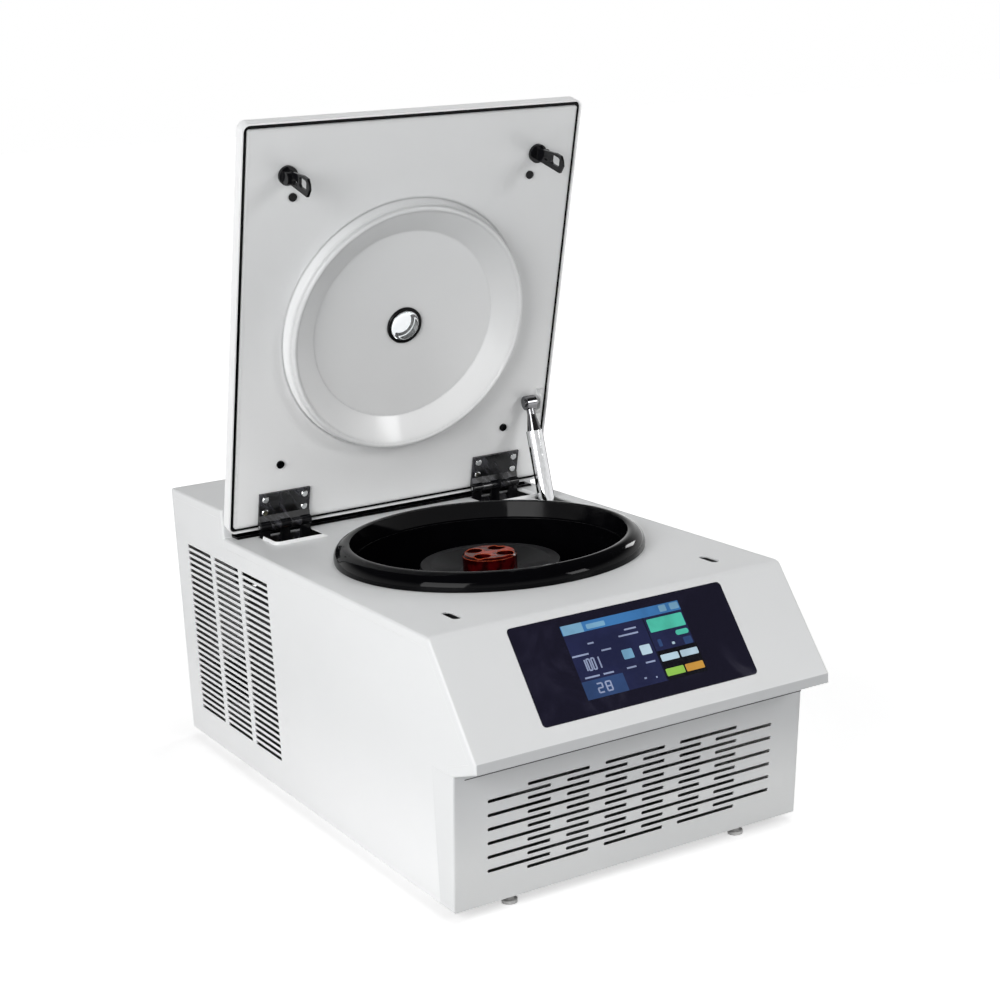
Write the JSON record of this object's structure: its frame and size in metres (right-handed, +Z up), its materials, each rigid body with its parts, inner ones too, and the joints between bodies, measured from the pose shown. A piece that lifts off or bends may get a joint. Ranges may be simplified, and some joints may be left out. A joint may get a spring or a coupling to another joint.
{
  "type": "refrigerated benchtop cytocentrifuge",
  "caption": "Benchtop laboratory centrifuge with a sloping touch screen, a round chamber with a rotor, and a square hinged lid held open by a gas strut.",
  "frame": {"origin": "on the bench, under the middle of the cabinet", "axes": "+Z up, the screen and front grille face -Y, +X to the right of someone facing the screen"},
  "size_m": [0.46, 0.81, 0.8397],
  "materials": {
    "cabinet_paint": "satin",
    "lid_paint": "satin",
    "grille_paint": "satin",
    "zinc_sheet": "satin",
    "bowl_enamel": "gloss",
    "black_rubber": "gloss",
    "grey_rubber": "matte",
    "foot_plastic": "matte",
    "foam": "matte",
    "black_plastic": "satin",
    "board_green": "satin",
    "screen_navy": "gloss",
    "clear_window": "gloss",
    "cast_housing": "satin",
    "aluminium": "satin",
    "rotor_anodised": "satin",
    "knob_red": "gloss",
    "copper": "satin",
    "black_steel": "satin",
    "bright_steel": "polished",
    "spindle_steel": "satin"
  },
  "bodies": {
    "cabinet": {"base_pan": "zinc_sheet", "chamber_bowl": "bowl_enamel", "chamber_tray": "zinc_sheet", "compressor": "cast_housing", "condenser": "aluminium", "control_board": "board_green", "copper_pipes": "copper", "deck_panel": "cabinet_paint", "drive_inverter": "aluminium", "drive_motor": "cast_housing", "fan_motor": "cast_housing", "fan_shroud": "aluminium", "front_panel": "grille_paint", "hinge_beam": "zinc_sheet", "hinge_pins": "spindle_steel", "hinge_stays": "black_steel", "lcd_module": "aluminium", "levelling_feet": "foot_plastic", "lock_unit_left": "black_plastic", "lock_unit_right": "black_plastic", "motor_boot": "black_rubber", "motor_plate": "zinc_sheet", "power_inlet": "black_plastic", "power_supply": "zinc_sheet", "rear_gutter": "black_rubber", "rear_panel": "cabinet_paint", "rear_screws": "bright_steel", "rear_top_cover": "cabinet_paint", "rim_gasket": "black_rubber", "rubber_feet": "grey_rubber", "rubber_mounts": "grey_rubber", "screen_bracket": "black_plastic", "screen_glass": "screen_navy", "side_panel_left": "cabinet_paint", "side_panel_right": "cabinet_paint", "strut_anchor": "black_steel", "tank_insulation": "foam"},
    "lid": {"lid_shell": "lid_paint", "lid_inner_panel": "lid_paint", "lid_foam": "foam", "lid_edge_seal": "black_rubber", "viewport_lens": "clear_window", "viewport_ring": "black_plastic", "lid_plugs": "black_plastic", "hinge_leaves": "black_steel", "hinge_screws": "bright_steel", "lid_hook_left": "black_steel", "lid_hook_right": "black_steel", "strut_bracket": "lid_paint"},
    "strut_tube": {"strut_socket": "bright_steel", "strut_tube": "bright_steel"},
    "strut_rod": {"strut_rod": "bright_steel"},
    "rotor": {"drive_spindle": "spindle_steel", "rotor_body": "rotor_anodised", "rotor_lid": "rotor_anodised"},
    "rotor_knob": {"rotor_knob": "knob_red"},
    "condenser_fan": {"condenser_fan": "aluminium"},
    "power_switch": {"power_switch": "black_plastic"},
    "lock_bolt_left": {"lock_bolt_left": "spindle_steel"},
    "lock_bolt_right": {"lock_bolt_right": "spindle_steel"}
  },
  "joints": [
    {"name": "lid_hinge", "type": "hinge", "parent": "cabinet", "child": "lid", "pos_m": [0, 0.2003, 0.3283], "axis": [1, 0, 0], "range_deg": [0, 73.2]},
    {"name": "strut_swing", "type": "hinge", "parent": "lid", "child": "strut_tube", "pos_m": [0.1945, 0.16332, 0.4404], "axis": [1, 0, 0], "range_deg": [-60, 0.5]},
    {"name": "strut_slide", "type": "slide", "parent": "strut_tube", "child": "strut_rod", "axis": [0, 0.2419, 0.9703], "range_m": [-0.0005, 0.126]},
    {"name": "rotor_spin", "type": "hinge", "parent": "cabinet", "child": "rotor", "pos_m": [0, -0.051, 0.2], "axis": [0, 0, 1], "continuous": true},
    {"name": "knob_turn", "type": "hinge", "parent": "rotor", "child": "rotor_knob", "pos_m": [0, -0.051, 0.3], "axis": [0, 0, 1], "continuous": true},
    {"name": "fan_spin", "type": "hinge", "parent": "cabinet", "child": "condenser_fan", "pos_m": [0.138, 0.28, 0.128], "axis": [1, 0, 0], "continuous": true},
    {"name": "power_rocker", "type": "hinge", "parent": "cabinet", "child": "power_switch", "pos_m": [-0.17, 0.396, 0.088], "axis": [1, 0, 0], "range_deg": [-14, 0]},
    {"name": "lock_left", "type": "slide", "parent": "cabinet", "child": "lock_bolt_left", "axis": [1, 0, 0], "range_m": [0, 0.016]},
    {"name": "lock_right", "type": "slide", "parent": "cabinet", "child": "lock_bolt_right", "axis": [-1, 0, 0], "range_m": [0, 0.016]}
  ],
  "couplings": [
    {"joint": "strut_swing", "follows": "lid_hinge", "ratio": -0.79429},
    {"joint": "strut_slide", "follows": "lid_hinge", "m_per_rad": 0.097504}
  ]
}
